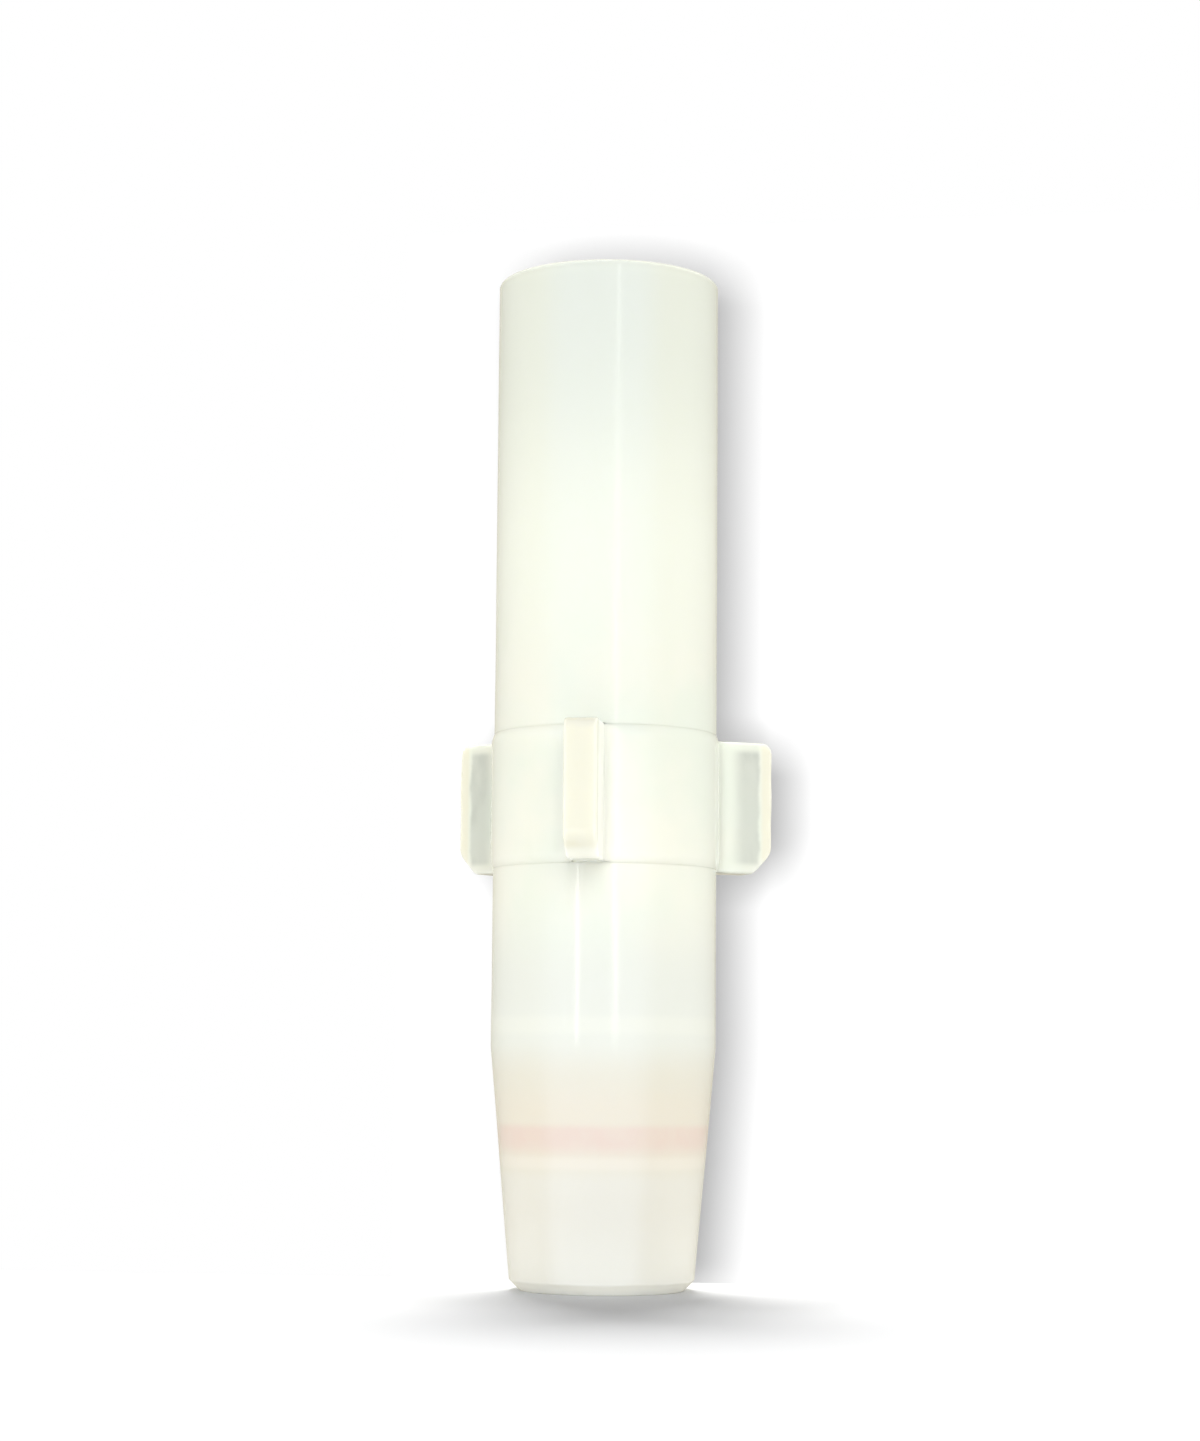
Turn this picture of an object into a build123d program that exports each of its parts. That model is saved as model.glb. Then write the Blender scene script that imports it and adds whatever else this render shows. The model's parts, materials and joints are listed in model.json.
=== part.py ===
"""Saliva ejector tip: a winged suction tip, the seal ring in its nose and the bush that keeps it there.

The origin is the centre of the nose end face. +Z runs up the axis to the open end of the barrel, and one
wing points along -Y. Sizes are in millimetres.
"""

import os

from build123d import *

os.makedirs("parts", exist_ok=True)

# outside of the body
barrel_radius = 8.0
overall_length = 72.5
taper_length = 17.0
nose_end_radius = 6.55
nose_chamfer = 0.75
nose_edge_round = 0.25
taper_start_round = 5.0
rim_round = 0.3

# collar and wings
wing_bottom = 29.7
wing_height = 9.6
collar_proud = 0.2
wing_count = 3
front_wing_angle = -90
wing_tip_radius = 12.75
wing_thickness = 2.3
wing_root_round = 0.9
wing_shoulder_round = 0.6
wing_foot_chamfer = 1.4
wing_edge_round = 0.15

# stepped bore, from the nose end up
retainer_bore_radius = 5.0
ring_chamber_height = 2.2
ejector_bore_radius = 3.3
ejector_seat_depth = 3.6
throat_radius = 3.0
throat_height = 1.4
throat_cone_height = 2.9
barrel_bore_radius = 6.3

# seal ring and its retainer
ring_section_radius = 1.0
ring_gap = 0.02
retainer_length = 9.5
retainer_gap = 0.01
retainer_mouth_chamfer = 0.4
retainer_lead_chamfer = 0.2

mid_wall_radius = (barrel_radius + barrel_bore_radius) / 2
wing_top = wing_bottom + wing_height
wing_middle = wing_bottom + wing_height / 2
chamber_top = retainer_length + ring_chamber_height
ejector_seat_top = chamber_top + ejector_seat_depth
throat_top = ejector_seat_top + throat_height
cone_top = throat_top + throat_cone_height
ring_height = retainer_length + ring_chamber_height / 2
ring_centre_radius = retainer_bore_radius - ring_section_radius - ring_gap
retainer_radius = retainer_bore_radius - retainer_gap


def wing_tips(part):
    """The flat outer end of each wing: the upright planes that stand furthest from the axis."""
    upright = part.faces().filter_by(GeomType.PLANE).filter_by(Axis.Z, reverse=True)
    return upright.sort_by(lambda face: Vector(face.center().X, face.center().Y).length)[-wing_count:]


def is_sharp(edge):
    """False for the upright lines of the wing roots and the lines where a shoulder round begins and ends."""
    upright = edge.bounding_box().size.Z > wing_height / 1.1
    shoulder = abs(edge.length - wing_thickness) < 0.01 and edge.center().Z > wing_middle
    return not (upright or shoulder)


with BuildPart() as tip_body:
    # collar and wings, with a hollow root round where each wing meets the collar
    with BuildSketch(Plane.XY.offset(wing_bottom)) as plan:
        Circle(barrel_radius + collar_proud)
        with PolarLocations(0, wing_count, start_angle=front_wing_angle):
            Rectangle(wing_tip_radius, wing_thickness, align=(Align.MIN, Align.CENTER))
        fillet(plan.vertices().group_by(SortBy.DISTANCE)[0], wing_root_round)
    extrude(amount=wing_height)
    fillet([tip.edges().sort_by(Axis.Z)[-1] for tip in wing_tips(tip_body)], wing_shoulder_round)
    chamfer([tip.edges().sort_by(Axis.Z)[0] for tip in wing_tips(tip_body)], wing_foot_chamfer)
    fillet(tip_body.edges().filter_by(is_sharp), wing_edge_round)
    with Locations((0, 0, wing_top)):
        Hole(mid_wall_radius)

    # barrel, tapered nose and stepped bore, turned as one section of the wall
    with BuildSketch(Plane.XZ) as wall:
        with BuildLine():
            Polyline(
                (retainer_bore_radius, 0),
                (nose_end_radius - nose_chamfer, 0),
                (nose_end_radius, nose_chamfer),
                (barrel_radius, taper_length),
                (barrel_radius, overall_length),
                (barrel_bore_radius, overall_length),
                (barrel_bore_radius, cone_top),
                (throat_radius, throat_top),
                (throat_radius, ejector_seat_top),
                (ejector_bore_radius, ejector_seat_top),
                (ejector_bore_radius, chamber_top),
                (retainer_bore_radius, chamber_top),
                close=True,
            )
        make_face()
        for corner, radius in (
            ((nose_end_radius - nose_chamfer, 0), nose_edge_round),
            ((nose_end_radius, nose_chamfer), nose_edge_round),
            ((barrel_radius, taper_length), taper_start_round),
            ((barrel_radius, overall_length), rim_round),
            ((barrel_bore_radius, overall_length), rim_round),
        ):
            fillet(wall.vertices().sort_by_distance(corner)[0], radius)
    revolve(axis=Axis.Z)

tip_body.part.label = "tip_body"

with BuildPart() as seal_ring:
    with BuildSketch(Plane.XZ):
        with Locations((ring_centre_radius, ring_height)):
            Circle(ring_section_radius)
    revolve(axis=Axis.Z)

seal_ring.part.label = "seal_ring"

with BuildPart() as ring_retainer:
    with BuildSketch(Plane.XZ) as bush_wall:
        with Locations((ejector_bore_radius, 0)):
            Rectangle(
                retainer_radius - ejector_bore_radius,
                retainer_length,
                align=(Align.MIN, Align.MIN),
            )
        mouth_corner = bush_wall.vertices().sort_by_distance((ejector_bore_radius, 0))[0]
        chamfer(mouth_corner, retainer_mouth_chamfer)
        chamfer(bush_wall.vertices().group_by(Axis.Y)[-1], retainer_lead_chamfer)
    revolve(axis=Axis.Z)

ring_retainer.part.label = "ring_retainer"

for piece in (tip_body, seal_ring, ring_retainer):
    export_step(piece.part, f"parts/{piece.part.label}.step")
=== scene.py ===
"""Looks of the saliva ejector tip: a milky winged body, its seal ring and its bush, on a white stage."""

import json
import math

import bpy
import numpy as np
from mathutils import Matrix, Vector, noise


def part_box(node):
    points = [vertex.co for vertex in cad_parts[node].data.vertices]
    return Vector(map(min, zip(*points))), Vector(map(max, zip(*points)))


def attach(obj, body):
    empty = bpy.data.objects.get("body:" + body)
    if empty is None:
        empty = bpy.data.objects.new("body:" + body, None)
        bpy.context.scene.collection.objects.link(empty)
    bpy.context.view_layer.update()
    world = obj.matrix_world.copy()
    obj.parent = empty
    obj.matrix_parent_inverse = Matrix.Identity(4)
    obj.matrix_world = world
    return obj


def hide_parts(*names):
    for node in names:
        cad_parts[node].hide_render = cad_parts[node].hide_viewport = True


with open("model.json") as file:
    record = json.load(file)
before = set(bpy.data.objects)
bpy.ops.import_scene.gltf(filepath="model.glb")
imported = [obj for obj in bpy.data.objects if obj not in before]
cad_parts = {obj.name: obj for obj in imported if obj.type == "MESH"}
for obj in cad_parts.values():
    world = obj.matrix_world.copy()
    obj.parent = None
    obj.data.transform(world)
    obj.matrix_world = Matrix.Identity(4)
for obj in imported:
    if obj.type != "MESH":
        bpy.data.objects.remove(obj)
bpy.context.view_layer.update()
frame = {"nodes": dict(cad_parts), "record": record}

UNIT = 0.001  # one millimetre; every size below is in millimetres

# ---------------------------------------------------------------- sizes from the frame
mounts = {mount["name"]: mount for mount in frame["record"]["mounts"]}


def box(node):
    """Lowest and highest corner of a CAD node, in millimetres."""
    low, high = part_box(node)
    return low / UNIT, high / UNIT


def height_beyond(node, radius):
    """Lowest and highest point of the part of a CAD node that lies further than this from the axis."""
    points = np.array([v.co for v in frame["nodes"][node].data.vertices]) / UNIT
    heights = points[np.hypot(points[:, 0], points[:, 1]) > radius][:, 2]
    return heights.min(), heights.max()


body_low, body_high = box("tip_body")
ring_low, ring_high = box("seal_ring")
bush_high = box("ring_retainer")[1]

BARREL = mounts["barrel_spigot"]["dims"]["r_mm"]
BORE = mounts["barrel_bore"]["dims"]["r_mm"]
SOCKET = mounts["ejector_socket"]["dims"]["r_mm"]
LENGTH = body_high.z
RING_SECTION = (ring_high.z - ring_low.z) / 2
RING_HEIGHT = (ring_high.z + ring_low.z) / 2
RING_CENTRE = ring_high.x - RING_SECTION
BUSH_RADIUS = bush_high.x
BUSH_LENGTH = bush_high.z

# outside of the body
TAPER = 17.0
TAPER_ROUND = 5.0
NOSE = 6.55
NOSE_CHAMFER = 0.75
NOSE_ROUND = 0.25
RIM_ROUND = 0.3
WING_REACH = -body_low.y
WING_BOTTOM, WING_TOP = height_beyond("tip_body", BARREL + 2)
WING_HALF = 1.15
WING_COUNT = 3
FRONT_WING = -90  # azimuth in degrees
COLLAR = BARREL + 0.2
ROOT_ROUND = 0.9
SHOULDER_ROUND = 0.8
FOOT_CHAMFER = 1.5
FOOT_BLEND = 0.5
COLLAR_BLEND = 0.8
EDGE_ROUND = 0.18

# stepped bore
BUSH_BORE = BUSH_RADIUS + 0.01
MOUTH_ROUND = 0.12
CHAMBER_TOP = BUSH_LENGTH + 2.2
SEAT_TOP = CHAMBER_TOP + 3.6
THROAT = 3.0
THROAT_TOP = SEAT_TOP + 1.4
CONE_TOP = THROAT_TOP + 2.9
CONE_ROUND = 0.5
STEP_ROUND = 0.1

# ring and bush
SEAM = 0.015
SEAM_WIDTH = 0.08
BUSH_LEAD = 0.4
BUSH_ROUND = 0.2
LEAD_ROUND = 0.15
RING_COLUMNS = 128
BUSH_COLUMNS = 144

# how far the moulded skin strays from its true place, and over what distance it waves
SKIN_STRAY, SKIN_WAVE = 0.02, 7.0
WING_STRAY, WING_WAVE = 0.05, 1.6


# ---------------------------------------------------------------- mesh tools
def rounded(corners, step=1.0, short_step=0.12, arc_steps=6):
    """Points along a bent line whose corners (radius from the axis, height, corner round) are rounded.

    Straight stretches are divided into steps no longer than step, with one short step beside each round.
    """
    path = []
    for i, (x, z, round_radius) in enumerate(corners):
        here = Vector((x, z))
        if round_radius == 0:
            path.append([here])
            continue
        before = (Vector(corners[i - 1][:2]) - here).normalized()
        after = (Vector(corners[(i + 1) % len(corners)][:2]) - here).normalized()
        turn = math.pi - before.angle(after)
        reach = round_radius * math.tan(turn / 2)
        middle = here + (before + after).normalized() * (round_radius / math.cos(turn / 2))
        start = here + before * reach - middle
        end = here + after * reach - middle
        arc = []
        for k in range(arc_steps + 1):
            t = k / arc_steps
            swing = (start * math.sin((1 - t) * turn) + end * math.sin(t * turn)) / math.sin(turn)
            arc.append(middle + swing)
        path.append(arc)
    points = list(path[0])
    for stretch in path[1:]:
        a, b = points[-1], stretch[0]
        run = (b - a).length
        side = min(short_step, run / 4)
        count = max(1, math.ceil((run - 2 * side) / step))
        places = [side + (run - 2 * side) * k / count for k in range(count + 1)]
        points += [a + (b - a) * (place / run) for place in places]
        points += stretch
    return [(p.x, p.y) for p in points]


def ring_row(radius, height, azimuth):
    """One row of points round the axis."""
    across, along = radius * np.cos(azimuth), radius * np.sin(azimuth)
    return np.stack([across, along, np.full(len(azimuth), height)], 1)


def closed_grid(name, rows, material, node):
    """A piece from rows of points, closed both ways round, that stands for a CAD node."""
    points = np.concatenate(rows) * UNIT
    count, width = len(rows), len(rows[0])
    i, j = np.meshgrid(np.arange(count), np.arange(width), indexing="ij")
    up, on = (i + 1) % count, (j + 1) % width
    faces = np.stack([i * width + j, i * width + on, up * width + on, up * width + j], 2).reshape(-1, 4)
    mesh = bpy.data.meshes.new(name)
    mesh.from_pydata(points.tolist(), [], faces.tolist())
    mesh.validate()
    mesh.polygons.foreach_set("use_smooth", [True] * len(mesh.polygons))
    mesh.materials.append(material)
    piece = bpy.data.objects.new(name, mesh)
    bpy.context.scene.collection.objects.link(piece)
    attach(piece, "root")
    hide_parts(node)
    return piece


# ---------------------------------------------------------------- body
TIP_STEPS, CORNER_STEPS, SIDE_STEPS, ROOT_STEPS, COLLAR_STEPS = 5, 5, 10, 8, 20
WING_STEPS = TIP_STEPS + CORNER_STEPS + SIDE_STEPS + ROOT_STEPS
SECTOR = math.tau / WING_COUNT
GATHER_HEIGHT = 8.0
EDGE_STEPS, FOOT_STEPS, BEND_STEPS, SHOULDER_STEPS, WALL_STEPS = 5, 5, 4, 6, 12
WALL_GAP = 0.1
FACE_SHARES = (0.04, 0.2, 0.4, 0.6, 0.8, 0.95)


def wing_outline(reach, inset, collar=COLLAR):
    """Half the plan of a wing along +X, from the middle of its tip to halfway to the next wing."""
    half, root = WING_HALF - inset, ROOT_ROUND + inset
    corner = EDGE_ROUND
    root_x = math.sqrt((collar + root) ** 2 - (half + root) ** 2)
    root_y = half + root
    root_end = math.atan2(root_y, root_x)
    points = [(reach, (half - corner) * k / TIP_STEPS) for k in range(TIP_STEPS)]
    for k in range(CORNER_STEPS):
        angle = math.pi / 2 * k / CORNER_STEPS
        x, y = reach - corner + corner * math.cos(angle), half - corner + corner * math.sin(angle)
        points.append((x, y))
    for k in range(SIDE_STEPS):
        along = (1 - math.cos(math.pi * k / SIDE_STEPS)) / 2
        points.append((reach - corner + (root_x - reach + corner) * along, half))
    for k in range(ROOT_STEPS):
        angle = -math.pi / 2 - (math.pi / 2 - root_end) * k / ROOT_STEPS
        points.append((root_x + root * math.cos(angle), root_y + root * math.sin(angle)))
    for k in range(COLLAR_STEPS + 1):
        angle = root_end + (SECTOR / 2 - root_end) * k / COLLAR_STEPS
        points.append((collar * math.cos(angle), collar * math.sin(angle)))
    return np.array(points)


def all_round(half_sector):
    """The full plan from half of one wing's: mirrored, and turned to every wing."""
    sector = np.concatenate([half_sector[:0:-1] * (1, -1), half_sector[:-1]])
    turns = [math.radians(FRONT_WING) + SECTOR * k for k in range(WING_COUNT)]
    return np.concatenate(
        [
            sector @ np.array([[math.cos(a), math.sin(a)], [-math.sin(a), math.cos(a)]])
            for a in turns
        ]
    )


def azimuths(closeness):
    """Azimuth of every column: 1 gathers the columns at the wings, 0 spreads them evenly."""
    width = len(all_round(wing_outline(WING_REACH, 0)))
    front = math.radians(FRONT_WING)
    even = front - SECTOR / 2 + math.tau * np.arange(width) / width
    root_end = math.atan2(WING_HALF + ROOT_ROUND, math.hypot(COLLAR, ROOT_ROUND))
    half = np.concatenate(
        [
            root_end * np.arange(WING_STEPS) / WING_STEPS,
            root_end + (SECTOR / 2 - root_end) * np.arange(COLLAR_STEPS + 1) / COLLAR_STEPS,
        ]
    )
    sector = np.concatenate([-half[:0:-1], half[:-1]])
    gathered = np.concatenate([sector + front + SECTOR * k for k in range(WING_COUNT)])
    return even + (gathered - even) * closeness


def barrel_row(radius, height):
    """A plain row of the barrel, whose columns gather towards the wings as it comes near them."""
    away = max(WING_BOTTOM - height, height - WING_TOP, 0) / GATHER_HEIGHT
    fade = max(0.0, 1 - away)
    return ring_row(radius, height, azimuths(fade * fade * (3 - 2 * fade)))


def wing_row(height):
    """A row through collar and wings, with the shoulder round, foot chamfer and rounded edges."""
    above, below = max(0.0, WING_TOP - height), max(0.0, height - WING_BOTTOM)
    edge = max(0.0, EDGE_ROUND - min(above, below))
    inset = EDGE_ROUND - math.sqrt(EDGE_ROUND**2 - edge**2)
    reach = WING_REACH
    if above < SHOULDER_ROUND:
        reach -= SHOULDER_ROUND - math.sqrt(SHOULDER_ROUND**2 - (SHOULDER_ROUND - above) ** 2)
    foot = FOOT_CHAMFER - below
    if foot > FOOT_BLEND:
        reach -= foot
    elif foot > -FOOT_BLEND:
        reach -= (foot + FOOT_BLEND) ** 2 / (4 * FOOT_BLEND)
    reach -= inset / 3 if below < EDGE_ROUND else 0
    sunk = max(0.0, 1 - min(above, below) / COLLAR_BLEND)
    plan = all_round(wing_outline(reach, inset, COLLAR - EDGE_ROUND * sunk * sunk))
    return np.column_stack([plan, np.full(len(plan), height)])


def wing_rows():
    """Every row from the barrel under the collar, out under the wings, up them and in over their tops."""
    quarter = math.pi / 2
    edge = [EDGE_ROUND * (1 - math.cos(quarter * k / EDGE_STEPS)) for k in range(EDGE_STEPS + 1)]
    foot = [(FOOT_CHAMFER - FOOT_BLEND) * k / FOOT_STEPS for k in range(1, FOOT_STEPS)]
    bend = [FOOT_CHAMFER + FOOT_BLEND * k / BEND_STEPS for k in range(-BEND_STEPS, BEND_STEPS + 1)]
    arc_steps = range(1, SHOULDER_STEPS + 1)
    shoulder = [SHOULDER_ROUND * (1 - math.cos(quarter * k / SHOULDER_STEPS)) for k in arc_steps]
    low, high = WING_BOTTOM + bend[-1] + WALL_GAP, WING_TOP - shoulder[-1] - WALL_GAP
    heights = [WING_BOTTOM + h for h in edge + foot + bend]
    heights += [low + (high - low) * k / WALL_STEPS for k in range(WALL_STEPS + 1)]
    heights += [WING_TOP - h for h in shoulder + edge]
    heights = sorted(set(round(h, 4) for h in heights))
    walls = [wing_row(h) for h in heights]
    under, over = barrel_row(BARREL, WING_BOTTOM), barrel_row(BARREL, WING_TOP)
    rows = [under + (walls[0] - under) * share for share in FACE_SHARES]
    rows += walls
    rows += [over + (walls[-1] - over) * share for share in reversed(FACE_SHARES)]
    return rows


def body_rows():
    """The whole body: nose and barrel, collar and wings, barrel and rim, and down the stepped bore."""
    middle = BUSH_LENGTH / 2
    nose = rounded(
        [
            (BUSH_BORE, middle, 0),
            (BUSH_BORE, 0, MOUTH_ROUND),
            (NOSE - NOSE_CHAMFER, 0, NOSE_ROUND),
            (NOSE, NOSE_CHAMFER, NOSE_ROUND),
            (BARREL, TAPER, TAPER_ROUND),
            (BARREL, WING_BOTTOM, 0),
        ]
    )
    rest = rounded(
        [
            (BARREL, WING_TOP, 0),
            (BARREL, LENGTH, RIM_ROUND),
            (BORE, LENGTH, RIM_ROUND),
            (BORE, CONE_TOP, CONE_ROUND),
            (THROAT, THROAT_TOP, RIM_ROUND),
            (THROAT, SEAT_TOP, STEP_ROUND),
            (SOCKET, SEAT_TOP, STEP_ROUND),
            (SOCKET, CHAMBER_TOP, STEP_ROUND),
            (BUSH_BORE, CHAMBER_TOP, STEP_ROUND),
            (BUSH_BORE, middle, 0),
        ]
    )
    rows = [barrel_row(r, z) for r, z in nose]
    rows += wing_rows()
    rows += [barrel_row(r, z) for r, z in rest[:-1]]
    return rows


def settle(rows):
    """Moves every point but those of the narrow bore a little off its true place, as moulding does."""
    for row in rows:
        for point in row:
            radius = math.hypot(point[0], point[1])
            if radius < NOSE - NOSE_CHAMFER:
                continue
            out = Vector((point[0], point[1], 0)) / radius
            place = Vector(point)
            shift = SKIN_STRAY * noise.noise(place / SKIN_WAVE)
            if radius > COLLAR + ROOT_ROUND:
                shift += WING_STRAY * noise.noise(place / WING_WAVE)
            point[:2] += np.array(out[:2]) * shift
    return rows


# ---------------------------------------------------------------- ring and bush
def turned(section, width):
    """Rows of a turned piece from its closed section."""
    azimuth = math.tau * np.arange(width) / width
    return [ring_row(r, z, azimuth) for r, z in section]


def seal_section(steps=56):
    """Round section of the ring with the fine mould seam that runs round its outer and inner girth."""
    points = []
    for k in range(steps):
        angle = math.tau * k / steps
        seam = SEAM * math.exp(-((math.sin(angle) / SEAM_WIDTH) ** 2))
        section = RING_SECTION - SEAM + seam
        points.append((RING_CENTRE + section * math.cos(angle), RING_HEIGHT + section * math.sin(angle)))
    return points


def bush_section():
    """Wall of the bush, with a wide lead-in at its mouth and softened corners."""
    middle = BUSH_LENGTH / 2
    path = rounded(
        [
            (SOCKET, middle, 0),
            (SOCKET, BUSH_LEAD, LEAD_ROUND),
            (SOCKET + BUSH_LEAD, 0, MOUTH_ROUND),
            (BUSH_RADIUS, 0, MOUTH_ROUND),
            (BUSH_RADIUS, BUSH_LENGTH, BUSH_ROUND),
            (SOCKET, BUSH_LENGTH, BUSH_ROUND),
            (SOCKET, middle, 0),
        ]
    )
    return path[-1:0:-1]


# ---------------------------------------------------------------- node trees
class Nodes:
    """A node tree and short calls that add nodes to it. Numbers, colours and outputs feed its inputs."""

    def __init__(self, tree):
        self.tree = tree

    def add(self, kind, **settings):
        node = self.tree.nodes.new(kind)
        for key, value in settings.items():
            setattr(node, key, value)
        return node

    def link(self, source, target):
        self.tree.links.new(source, target)

    def feed(self, value, socket):
        if hasattr(value, "is_output"):
            self.link(value, socket)
        else:
            socket.default_value = value

    def math(self, operation, a, b=0.0):
        node = self.add("ShaderNodeMath", operation=operation)
        self.feed(a, node.inputs[0])
        self.feed(b, node.inputs[1])
        return node.outputs[0]

    def spread(self, value, low, high, to_low=0.0, to_high=1.0, curve="SMOOTHERSTEP"):
        """Value from low..high brought to to_low..to_high, with soft ends unless the curve is linear."""
        node = self.add("ShaderNodeMapRange", interpolation_type=curve)
        self.feed(value, node.inputs["Value"])
        for key, number in zip(("From Min", "From Max", "To Min", "To Max"), (low, high, to_low, to_high)):
            node.inputs[key].default_value = number
        return node.outputs["Result"]

    def split(self, vector):
        """The three outputs with a vector's parts along X, Y and Z."""
        node = self.add("ShaderNodeSeparateXYZ")
        self.link(vector, node.inputs[0])
        return node.outputs

    def mix(self, share, a, b):
        node = self.add("ShaderNodeMix", data_type="RGBA")
        self.feed(share, node.inputs["Factor"])
        self.feed(a, node.inputs["A"])
        self.feed(b, node.inputs["B"])
        return node.outputs["Result"]


class Material(Nodes):
    """A material's node tree, whose patterns are placed in the object's own space."""

    def __init__(self, name):
        self.material = bpy.data.materials.new(name)
        self.material.use_nodes = True
        super().__init__(self.material.node_tree)
        self.shader = self.tree.nodes["Principled BSDF"]
        self.place = self.add("ShaderNodeTexCoord").outputs["Object"]

    def noise(self, size, detail=3.0, stretch=(1, 1, 1)):
        """Noise with features about this many millimetres across, from 0 to 1."""
        mapping = self.add("ShaderNodeMapping")
        self.link(self.place, mapping.inputs["Vector"])
        mapping.inputs["Scale"].default_value = [1 / (UNIT * size * s) for s in stretch]
        node = self.add("ShaderNodeTexNoise")
        self.link(mapping.outputs["Vector"], node.inputs["Vector"])
        node.inputs["Scale"].default_value = 1.0
        node.inputs["Detail"].default_value = detail
        return node.outputs["Fac"]

    def bump(self, height, distance, under=None):
        """Bump from a height that is distance millimetres at 1, on top of the one under it."""
        node = self.add("ShaderNodeBump")
        node.inputs["Strength"].default_value = 1.0
        node.inputs["Distance"].default_value = distance * UNIT
        self.link(height, node.inputs["Height"])
        if under is not None:
            self.link(under, node.inputs["Normal"])
        return node.outputs["Normal"]

    def near(self, value, middle, inner, outer, strength):
        """The strength where value is within inner of the middle, fading to 0 at outer."""
        distance = self.math("ABSOLUTE", self.math("SUBTRACT", value, middle))
        return self.spread(distance, inner, outer, strength, 0.0)


def linear(red, green, blue):
    """A colour given as 0 to 255 display values, as the shader needs it."""
    steps = [c / 255 for c in (red, green, blue)]
    return tuple(c / 12.92 if c < 0.04045 else ((c + 0.055) / 1.055) ** 2.4 for c in steps) + (1.0,)


# ---------------------------------------------------------------- plastic, what shows through it, and painted light and shade
WING_MIDDLE = (WING_TOP + WING_BOTTOM) / 2
WING_HALF_HEIGHT = (WING_TOP - WING_BOTTOM) / 2
RING_GLOW_LIFT = 0.8
# height of a painted highlight: the inner step catching light through the wall
STEP_HIGHLIGHT = TAPER + 1.5


def milky_plastic(name, tint, cloud_tint, extra=None):
    """Milky polypropylene: clouded cream with a soft gloss and faint draw lines. extra paints over it."""
    m = Material(name)
    colour = m.mix(m.spread(m.noise(9.0), 0.35, 0.65), tint, cloud_tint)
    if extra:
        colour = extra(m, colour)
    m.link(colour, m.shader.inputs["Base Color"])
    rough = m.spread(m.noise(3.0, stretch=(1, 1, 5)), 0.3, 0.7, 0.13, 0.19)
    m.link(rough, m.shader.inputs["Roughness"])
    skin = m.bump(m.noise(1.6, stretch=(1, 1, 6)), 0.0025)
    m.link(m.bump(m.noise(0.25, detail=2.0), 0.0006, under=skin), m.shader.inputs["Normal"])
    m.shader.inputs["IOR"].default_value = 1.49
    m.shader.inputs["Subsurface Weight"].default_value = 1.0
    m.shader.inputs["Subsurface Radius"].default_value = (1.0, 1.0, 1.0)
    m.shader.inputs["Subsurface Scale"].default_value = 0.7 * UNIT
    return m.material


def barrel_tints(m, colour, up):
    """The barrel: painted shade below the collar and painted light above it, a little greyer towards the
    rim, and painted shade along the rim's top edge.
    """
    # painted shade: darker below the collar
    shade_below_collar = m.spread(up, WING_BOTTOM - 10, WING_BOTTOM, 1.0, 0.0)
    colour = m.mix(shade_below_collar, colour, linear(220, 222, 214))
    # painted light: lighter above the collar
    light_above_collar = m.spread(up, WING_TOP - 1, WING_TOP + 14)
    colour = m.mix(light_above_collar, colour, linear(231, 233, 221))
    rim = m.spread(up, LENGTH - 22, LENGTH - 3)
    colour = m.mix(rim, colour, linear(221, 224, 213))
    # painted shade darkening the rim's top edge
    lip = m.spread(up, LENGTH - 0.8, LENGTH - 0.2, 0.0, 0.7)
    return m.mix(lip, colour, linear(214, 216, 205))


def wing_tints(m, colour, across, along, up, radius):
    """The wings: painted shade in grey streaks on the rear wings' faces, the darker look of seeing through
    them, with an uneven end; cream tips; and painted light over the shade beside the front wing and at its
    roots.
    """
    # painted shade: the rear wings' faces, seen through, darker in streaks and lighter near their top and
    # bottom edges
    wobble = m.math("MULTIPLY", m.math("SUBTRACT", m.noise(1.6), 0.5), 0.7)
    end = m.spread(m.math("ADD", radius, wobble), 11.5, 12.0, 1.0, 0.0)
    wing = m.math("MULTIPLY", m.spread(radius, COLLAR + 1.0, COLLAR + 2.6), end)
    wing = m.math("MULTIPLY", wing, m.spread(along, -6.0, -2.0))
    from_middle = m.math("ABSOLUTE", m.math("SUBTRACT", up, WING_MIDDLE))
    border = m.spread(from_middle, WING_HALF_HEIGHT - 1.0, WING_HALF_HEIGHT - 0.4, 1.0, 0.25)
    wing = m.math("MULTIPLY", wing, border)
    streaks = m.spread(m.noise(1.8, stretch=(1, 1, 2)), 0.3, 0.7, 0.7, 1.0)
    colour = m.mix(m.math("MULTIPLY", wing, streaks), colour, linear(195, 198, 188))
    colour = m.mix(m.spread(radius, 11.7, 12.2), colour, linear(227, 225, 208))

    # painted light over the shade beside the front wing and at its roots
    beside = m.spread(m.math("ABSOLUTE", across), WING_HALF, WING_HALF + 1.4, 0.6, 0.0)
    for limit in (
        m.spread(along, -7.8, -7.4, 1.0, 0.0),
        m.spread(radius, COLLAR + 3.2, COLLAR + 4.2, 1.0, 0.0),
        m.spread(from_middle, WING_HALF_HEIGHT - 0.2, WING_HALF_HEIGHT, 1.0, 0.0),
    ):
        beside = m.math("MULTIPLY", beside, limit)
    return m.mix(beside, colour, linear(246, 246, 236))


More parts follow.
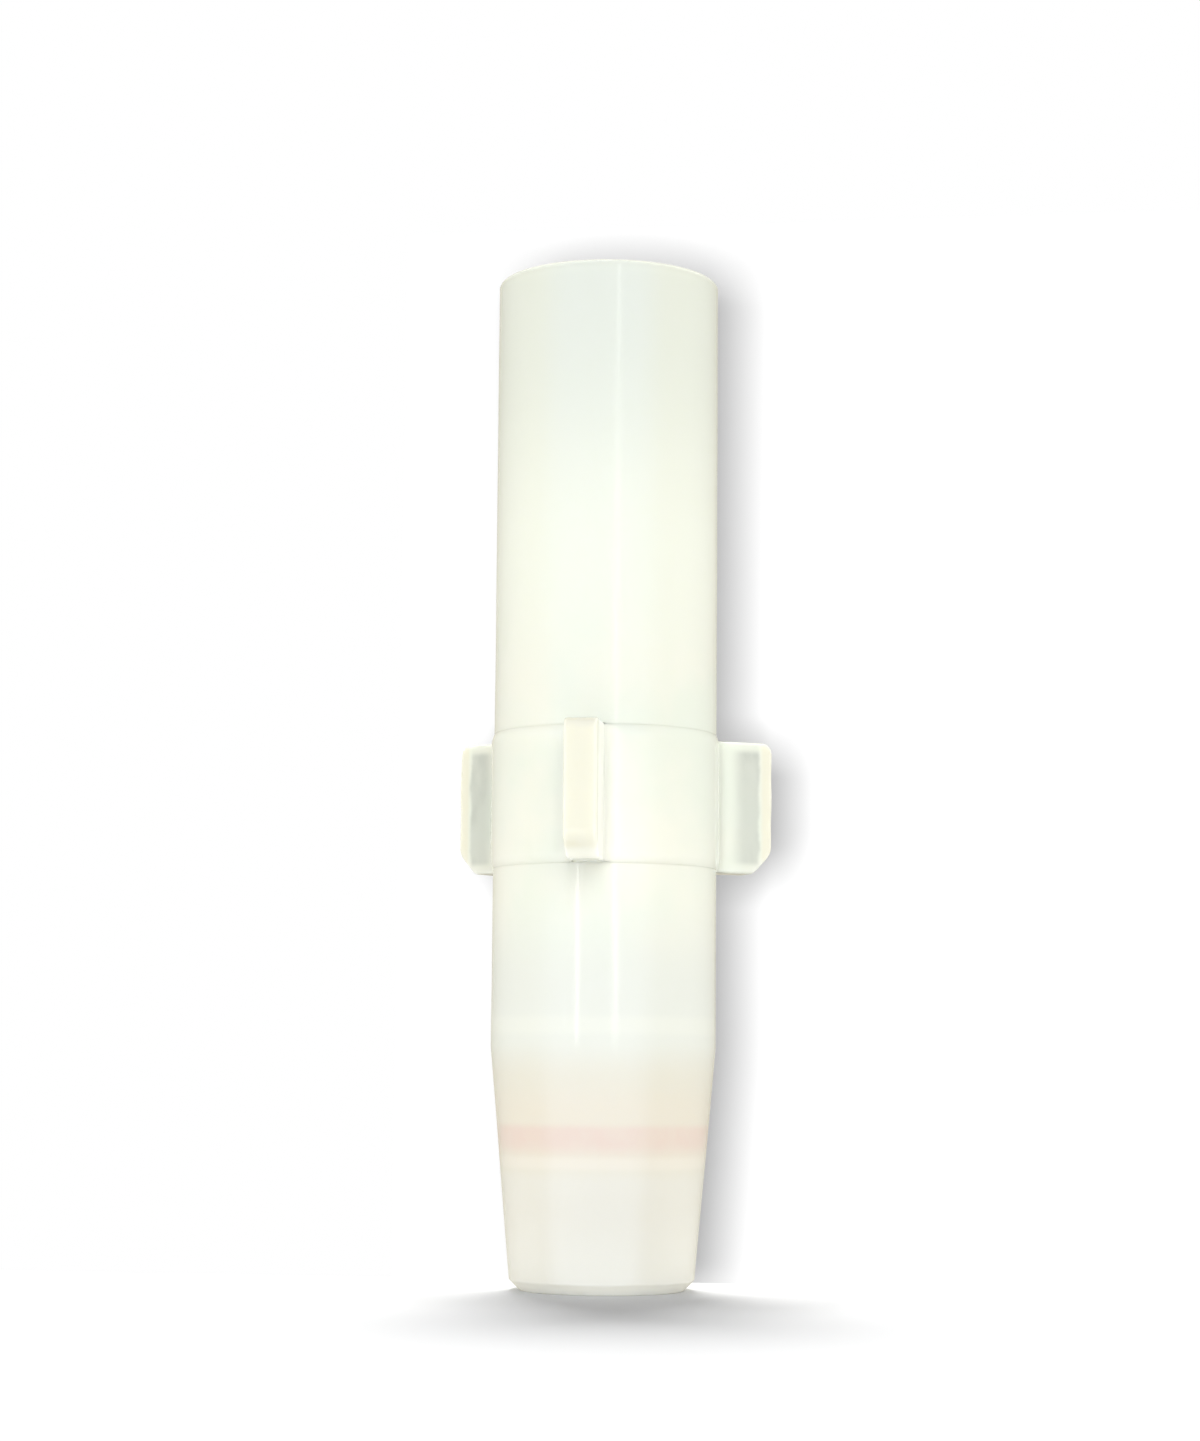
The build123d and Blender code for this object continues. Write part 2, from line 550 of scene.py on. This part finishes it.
def nose_tints(m, colour, up):
    """The nose: warm and whiter over the bush, with painted light towards its end over the shade near the
    floor, brightest at the end, and a painted highlight line above the taper where the inner step catches
    light through the wall.
    """
    nose = m.spread(up, TAPER - 3.0, TAPER + 1.4, 1.0, 0.0)
    colour = m.mix(nose, colour, linear(218, 215, 202))
    bush = m.spread(up, BUSH_LENGTH - 2.2, BUSH_LENGTH - 0.3, 1.0, 0.0)
    colour = m.mix(bush, colour, linear(219, 217, 207))
    # painted light over the shade near the foot
    foot = m.spread(up, 0.5, 7.0, 1.0, 0.0)
    colour = m.mix(foot, colour, linear(226, 225, 216))
    # painted light: brightest at the nose's end, over its contact shadow
    colour = m.mix(m.spread(up, 0.3, 1.0, 0.9, 0.0), colour, linear(250, 249, 240))
    # painted highlight: the inner step catching light, seen through the wall
    return m.mix(m.near(up, STEP_HIGHLIGHT, 0.2, 1.0, 0.28), colour, linear(231, 232, 221))


def ring_image(m, colour, up):
    """The ring through the wall: a patchy pink band in a wide warm glow, with a light line under it."""
    above_ring = m.math("SUBTRACT", up, RING_HEIGHT)
    glow = m.near(above_ring, RING_GLOW_LIFT, 0.8, 3.8, 0.16)
    colour = m.mix(glow, colour, linear(226, 208, 188))
    top_edge = m.spread(above_ring, RING_SECTION * 0.55, RING_SECTION * 1.35, 1.0, 0.0)
    foot_edge = m.spread(above_ring, -RING_SECTION * 1.6, RING_SECTION * 0.1)
    patches = m.spread(m.noise(2.0), 0.3, 0.7, 0.7, 1.0)
    band = m.math("MULTIPLY", m.math("MULTIPLY", top_edge, foot_edge), patches)
    colour = m.mix(band, colour, linear(219, 203, 192))
    under = m.near(above_ring, -(RING_SECTION + 0.6), 0.1, 0.7, 0.25)
    return m.mix(under, colour, linear(234, 228, 219))


def body_colours(m, colour):
    """What the wall of the body lets through, with painted light and shade, all painted by place."""
    across, along, up = (m.math("DIVIDE", part, UNIT) for part in m.split(m.place))
    radius = m.math("SQRT", m.math("ADD", m.math("POWER", across, 2), m.math("POWER", along, 2)))
    colour = barrel_tints(m, colour, up)
    colour = wing_tints(m, colour, across, along, up, radius)
    colour = nose_tints(m, colour, up)
    return ring_image(m, colour, up)


def ring_rubber():
    """Satin pinkish-red silicone, a little patchy, with a dusty bloom."""
    m = Material("ring_rubber")
    cloud = m.spread(m.noise(1.5), 0.3, 0.7)
    colour = m.mix(cloud, linear(196, 92, 80), linear(212, 116, 102))
    m.link(colour, m.shader.inputs["Base Color"])
    m.link(m.spread(m.noise(0.6), 0.3, 0.7, 0.42, 0.6), m.shader.inputs["Roughness"])
    m.link(m.bump(m.noise(0.2), 0.004), m.shader.inputs["Normal"])
    m.shader.inputs["Subsurface Weight"].default_value = 0.3
    m.shader.inputs["Subsurface Scale"].default_value = 0.5 * UNIT
    return m.material


def matt_white(name, grey, glow=0.0):
    """Matt board of a pale grey with a faint cloud, which can glow a little."""
    m = Material(name)
    cloud = m.mix(m.noise(60.0), linear(grey, grey, grey), linear(grey + 2, grey + 2, grey + 2))
    m.link(cloud, m.shader.inputs["Base Color"])
    m.shader.inputs["Roughness"].default_value = 0.9
    m.shader.inputs["Specular IOR Level"].default_value = 0.1
    m.shader.inputs["Emission Color"].default_value = (1, 1, 1, 1)
    m.shader.inputs["Emission Strength"].default_value = glow
    return m.material


# ---------------------------------------------------------------- object
body_plastic = milky_plastic("milky_plastic", linear(225, 229, 217), linear(231, 231, 219), body_colours)
bush_plastic = milky_plastic("bush_plastic", linear(219, 222, 212), linear(223, 225, 217))
skin_rows = settle(body_rows())
seal_rows = turned(seal_section(), RING_COLUMNS)
bush_rows = turned(bush_section(), BUSH_COLUMNS)
pieces = [
    closed_grid("body_moulding", skin_rows, body_plastic, "tip_body"),
    closed_grid("silicone_ring", seal_rows, ring_rubber(), "seal_ring"),
    closed_grid("retaining_bush", bush_rows, bush_plastic, "ring_retainer"),
]

# ---------------------------------------------------------------- camera, its angles in degrees
CAMERA_DISTANCE = 213.2
CAMERA_HEIGHT = 15.1
CAMERA_AZIMUTH = 7.83
CAMERA_PITCH = 6.79
CAMERA_YAW = -0.11
CAMERA_ROLL = -0.44
LENS = 74.3


def outward(azimuth, elevation):
    """Direction away from the object, in degrees, its azimuth counted from the camera's."""
    a, e = math.radians(CAMERA_AZIMUTH + azimuth), math.radians(elevation)
    return Vector((math.sin(a) * math.cos(e), -math.cos(a) * math.cos(e), math.sin(e)))


def add_camera():
    """The camera, as high as the taper's start and tilted up, with the front wing left of the middle."""
    data = bpy.data.cameras.new("camera")
    data.lens = LENS
    data.sensor_width = 36
    data.clip_start = 10 * UNIT
    data.clip_end = 10000 * UNIT
    camera = bpy.data.objects.new("camera", data)
    bpy.context.scene.collection.objects.link(camera)
    place = outward(0, 0) * CAMERA_DISTANCE + Vector((0, 0, CAMERA_HEIGHT))
    turn = Matrix.Rotation(math.radians(CAMERA_AZIMUTH - CAMERA_YAW), 4, "Z")
    tilt = Matrix.Rotation(math.radians(90 + CAMERA_PITCH), 4, "X")
    roll = Matrix.Rotation(-math.radians(CAMERA_ROLL), 4, "Z")
    camera.matrix_world = Matrix.Translation(place * UNIT) @ turn @ tilt @ roll
    bpy.context.scene.camera = camera


# ---------------------------------------------------------------- stage
FLOOR_SIDE = 110.0
FLOOR_BACK = 9.0
CARD_DISTANCE = 120.0
CARD_LEFT = -40.0
CARD_RIGHT = 75.0
CARD_LOW = -40.0
CARD_HIGH = 112.0
CARD_GLOW = 0.06
FLOOR_GREY = 247
CARD_GREY = 238


def staged(name, points, material):
    """A flat part of the stage, which no reflection shows."""
    mesh = bpy.data.meshes.new(name)
    mesh.from_pydata([Vector(p) * UNIT for p in points], [], [range(len(points))])
    mesh.materials.append(material)
    thing = bpy.data.objects.new(name, mesh)
    bpy.context.scene.collection.objects.link(thing)
    thing.visible_glossy = False
    return thing


def add_floor():
    """A plain white board under the nose. It ends close behind the object, so that the card shows."""
    front = [(-FLOOR_SIDE, -FLOOR_SIDE, 0), (FLOOR_SIDE, -FLOOR_SIDE, 0)]
    back = [(FLOOR_SIDE, FLOOR_BACK, 0), (-FLOOR_SIDE, FLOOR_BACK, 0)]
    staged("floor", front + back, matt_white("floor_white", FLOOR_GREY))


def add_card():
    """An upright white card far behind the object, which takes its soft shadow.

    Only the camera sees it, so it neither lights nor shades anything else.
    """
    bottom = [(CARD_LEFT, CARD_DISTANCE, CARD_LOW), (CARD_RIGHT, CARD_DISTANCE, CARD_LOW)]
    top = [(CARD_RIGHT, CARD_DISTANCE, CARD_HIGH), (CARD_LEFT, CARD_DISTANCE, CARD_HIGH)]
    card = staged("card", bottom + top, matt_white("card_white", CARD_GREY, CARD_GLOW))
    card.visible_diffuse = False
    card.visible_transmission = False
    card.visible_shadow = False
    return card


# ---------------------------------------------------------------- lights
def collected(name, things):
    """A collection of these things, for a lamp's links."""
    collection = bpy.data.collections.new(name)
    for thing in things:
        collection.objects.link(thing)
    return collection


def add_lamp(name, data, out, only=(), casters=()):
    """A lamp that shines against the direction out. Neither the camera nor a reflection sees it.

    only lists what it lights and casters what throws a shadow in its light. Empty lists mean everything.
    """
    lamp = bpy.data.objects.new(name, data)
    bpy.context.scene.collection.objects.link(lamp)
    lamp.rotation_mode = "QUATERNION"
    lamp.rotation_quaternion = out.to_track_quat("Z", "Y")
    lamp.visible_camera = False
    lamp.visible_glossy = False
    if only:
        lamp.light_linking.receiver_collection = collected(name + "_lights", only)
    if casters:
        lamp.light_linking.blocker_collection = collected(name + "_casters", casters)
    return lamp


def add_sun(name, azimuth, elevation, strength, spread):
    """Far soft light whose disc is spread degrees across."""
    data = bpy.data.lights.new(name, "SUN")
    data.energy = strength
    data.angle = math.radians(spread)
    add_lamp(name, data, outward(azimuth, elevation))


def add_light(name, size, power, azimuth, elevation=0, distance=400, height=36, gloss=False, **links):
    """A rectangular light that faces the axis at a height.

    With gloss, reflections show it and it lights nothing else. Otherwise no reflection shows it.
    """
    data = bpy.data.lights.new(name, "AREA")
    data.shape = "RECTANGLE"
    data.size, data.size_y = size[0] * UNIT, size[1] * UNIT
    data.energy = power
    out = outward(azimuth, elevation)
    lamp = add_lamp(name, data, out, **links)
    lamp.location = (Vector((0, 0, height)) + out * distance) * UNIT
    lamp.visible_diffuse = not gloss
    lamp.visible_glossy = gloss


def add_lights(card):
    """A high sun, the card's own light, soft lights for the object alone, and the lines of its gloss."""
    add_sun("overhead", azimuth=183, elevation=66, strength=2.6, spread=20)
    links = {"only": [card], "casters": pieces}
    add_light("card_key", (13, 13), power=0.93, azimuth=-1.2, distance=213, height=15.8, **links)
    add_light("key", (220, 220), power=0.6, azimuth=5, elevation=25, distance=320, height=45, only=pieces)
    add_light("front", (140, 50), power=0.33, azimuth=-1, elevation=2, height=25, only=pieces)
    add_light("nose", (8, 8), power=0.00072, azimuth=0, distance=32, height=4, only=pieces)
    add_light("fill_left", (260, 260), power=0.88, azimuth=-105, elevation=8, only=pieces)
    add_light("fill_right", (260, 260), power=0.86, azimuth=110, elevation=8, only=pieces)
    add_light("line_right", (9, 260), power=0.035, azimuth=10.5, elevation=12, height=40, gloss=True)
    add_light("line_low_right", (13, 34), power=0.013, azimuth=11.6, height=42, gloss=True)
    add_light("line_low_left", (13, 34), power=0.019, azimuth=-27, height=42, gloss=True)


# ---------------------------------------------------------------- world
SKY_COLOUR = (0.37, 0.37, 0.37, 1)
ROOM_COLOUR = (0.62, 0.58, 0.46, 1)
SCREEN_AZIMUTH = -8
SCREEN_CORE = 25
SCREEN_EDGE = 75
SCREEN_TOP = math.sin(math.radians(40))
SCREEN_COLOURS = (  # elevation, and the colour there
    (-25, (1.5, 1.8, 2.3)),
    (-12, (2.2, 2.5, 3.0)),
    (-3, (1.6, 1.8, 2.3)),
    (2, (2.2, 2.3, 2.6)),
    (6, (1.5, 1.8, 2.2)),
    (10, (1.4, 1.8, 2.2)),
    (14, (0.7, 1.1, 2.2)),
    (30, (0.5, 0.8, 1.6)),
)


def screen_colour(w, direction):
    """The screen's colour, which goes by the elevation of a direction."""
    height = w.split(direction)["Z"]
    level = w.spread(height, -SCREEN_TOP, SCREEN_TOP, curve="LINEAR")
    screen = w.add("ShaderNodeValToRGB")
    ramp = screen.color_ramp
    for i, (elevation, colour) in enumerate(SCREEN_COLOURS):
        spot = (math.sin(math.radians(elevation)) + SCREEN_TOP) / (2 * SCREEN_TOP)
        stop = ramp.elements[i] if i < 2 else ramp.elements.new(spot)
        stop.position = spot
        stop.color = colour + (1,)
    w.link(level, screen.inputs[0])
    return screen.outputs[0]


def screen_share(w, direction):
    """1 towards the middle of the screen, fading to 0 at its sides."""
    flat = w.add("ShaderNodeVectorMath", operation="MULTIPLY")
    w.link(direction, flat.inputs[0])
    flat.inputs[1].default_value = (1, 1, 0)
    unit = w.add("ShaderNodeVectorMath", operation="NORMALIZE")
    w.link(flat.outputs[0], unit.inputs[0])
    toward = w.add("ShaderNodeVectorMath", operation="DOT_PRODUCT")
    w.link(unit.outputs[0], toward.inputs[0])
    toward.inputs[1].default_value = outward(SCREEN_AZIMUTH, 0)
    edge, core = (math.cos(math.radians(angle)) for angle in (SCREEN_EDGE, SCREEN_CORE))
    return w.spread(toward.outputs["Value"], edge, core)


def add_world():
    """Even light from all round, white to the camera.

    Reflections see a cool bright screen in front and a dim warm room elsewhere.
    """
    world = bpy.data.worlds.new("world")
    world.use_nodes = True
    world.cycles.sampling_method = "NONE"
    w = Nodes(world.node_tree)
    direction = w.add("ShaderNodeTexCoord").outputs["Generated"]
    reflected = w.mix(screen_share(w, direction), ROOM_COLOUR, screen_colour(w, direction))
    path = w.add("ShaderNodeLightPath").outputs
    light = w.mix(path["Is Glossy Ray"], SKY_COLOUR, reflected)
    seen = w.mix(path["Is Camera Ray"], light, (1, 1, 1, 1))
    w.link(seen, w.tree.nodes["Background"].inputs["Color"])
    bpy.context.scene.world = world


add_camera()
add_floor()
add_world()
add_lights(add_card())
bpy.context.scene.view_settings.view_transform = "Standard"
